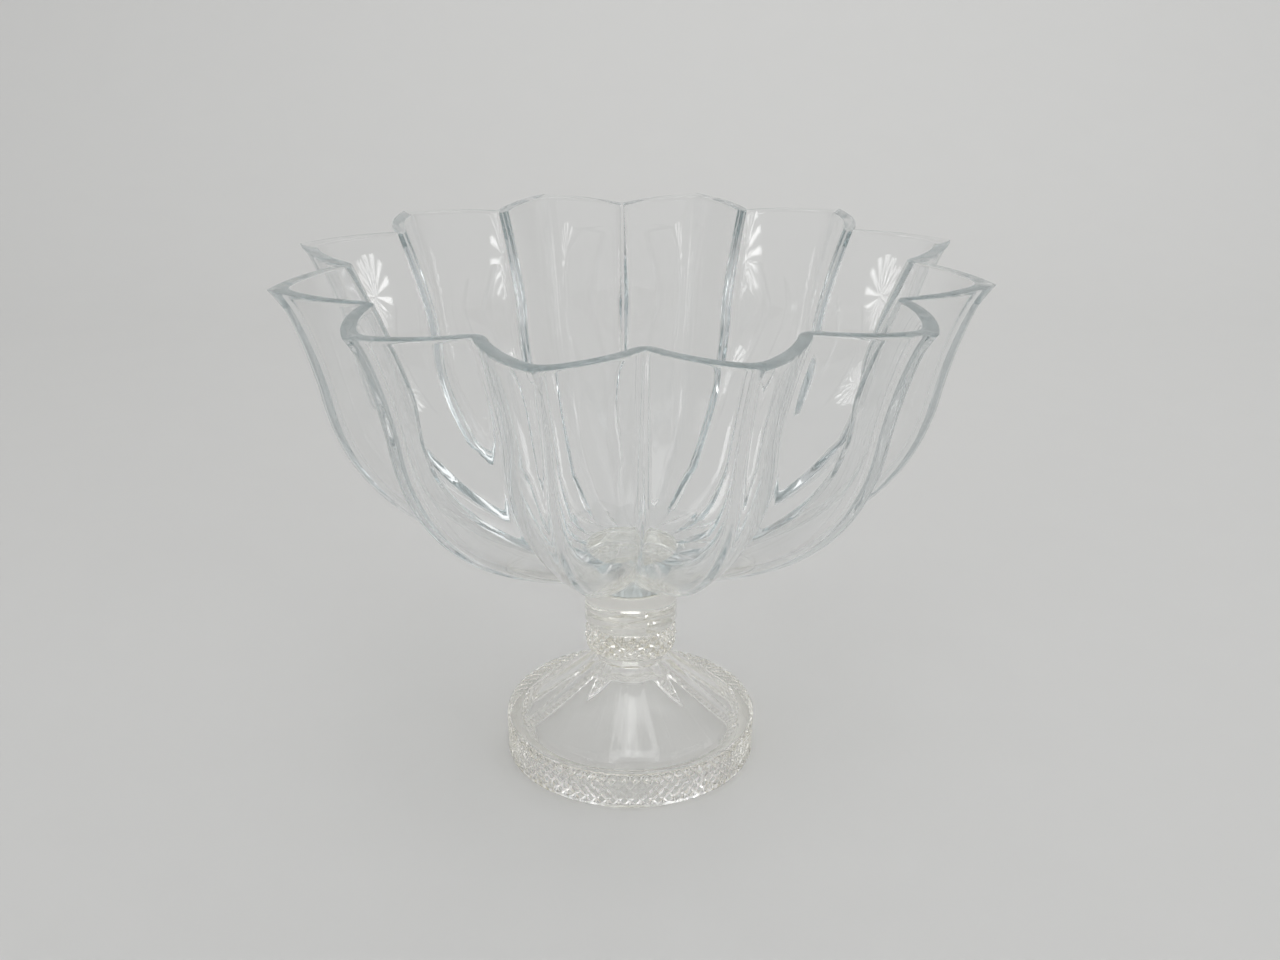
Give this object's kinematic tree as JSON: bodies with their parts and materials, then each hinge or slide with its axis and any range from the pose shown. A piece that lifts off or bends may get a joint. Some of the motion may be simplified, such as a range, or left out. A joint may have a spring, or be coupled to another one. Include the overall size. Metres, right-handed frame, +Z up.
{
  "type": "footed bowl",
  "caption": "Clear glass footed bowl: flared bowl of pointed petals with a flat rim, on a smooth collar, diamond knop, fluted cone and hollow diamond-patterned foot.",
  "frame": {"origin": "centre of the foot's resting ring, on the table", "axes": "+Z up along the stem, -Y towards a notch between two petals"},
  "size_m": [0.2918, 0.2918, 0.2344],
  "materials": {
    "bowl_glass": "fire-polished clear glass with a cool blue-grey tint, rim ground flat",
    "adhesive": "clear cured adhesive",
    "collar_glass": "fire-polished clear glass with a faint warm tint",
    "foot_glass": "pressed clear glass with a faint warm tint and a diamond pattern"
  },
  "bodies": {
    "root": {"petal_bowl": "bowl_glass", "adhesive_film": "adhesive", "stem_collar": "collar_glass", "pedestal_foot": "foot_glass"}
  },
  "joints": []
}
